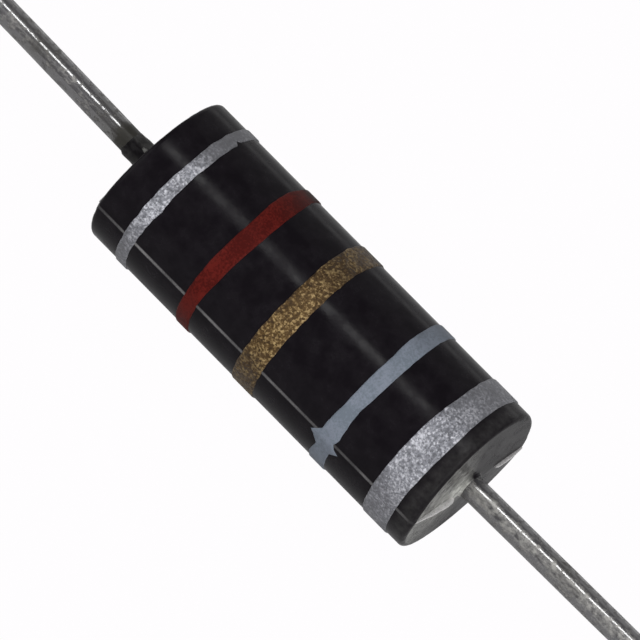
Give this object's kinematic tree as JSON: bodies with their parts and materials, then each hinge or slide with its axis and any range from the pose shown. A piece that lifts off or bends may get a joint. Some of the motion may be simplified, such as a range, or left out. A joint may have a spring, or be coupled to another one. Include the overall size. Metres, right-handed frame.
{
  "type": "axial inductor",
  "caption": "Moulded axial inductor: a black resin cylinder with painted colour bands around a wound core, with a straight tinned lead at each end.",
  "frame": {"origin": "middle of the moulded body, on the axis of the leads", "axes": "+X along the leads towards the end with the wide silver band, +Z square to the mould's parting plane"},
  "size_m": [0.0658, 0.004, 0.004],
  "materials": {
    "moulded_epoxy": "satin moulded black resin",
    "powdered_iron": "pressed powder",
    "enamelled_copper": "clear enamel on copper",
    "tinned_copper": "dull hot-dipped tin",
    "solder": "bright solder",
    "silver_paint": "silver flake paint",
    "grey_paint": "satin grey paint",
    "gold_paint": "gold flake paint",
    "red_paint": "matte dark red paint"
  },
  "bodies": {
    "root": {"moulded_body": "moulded_epoxy", "core": "powdered_iron", "winding": "enamelled_copper", "left_lead": "tinned_copper", "right_lead": "tinned_copper", "left_solder_joint": "solder", "right_solder_joint": "solder", "wide_silver_band": "silver_paint", "grey_band": "grey_paint", "gold_band": "gold_paint", "red_band": "red_paint", "narrow_silver_band": "silver_paint"}
  },
  "joints": []
}
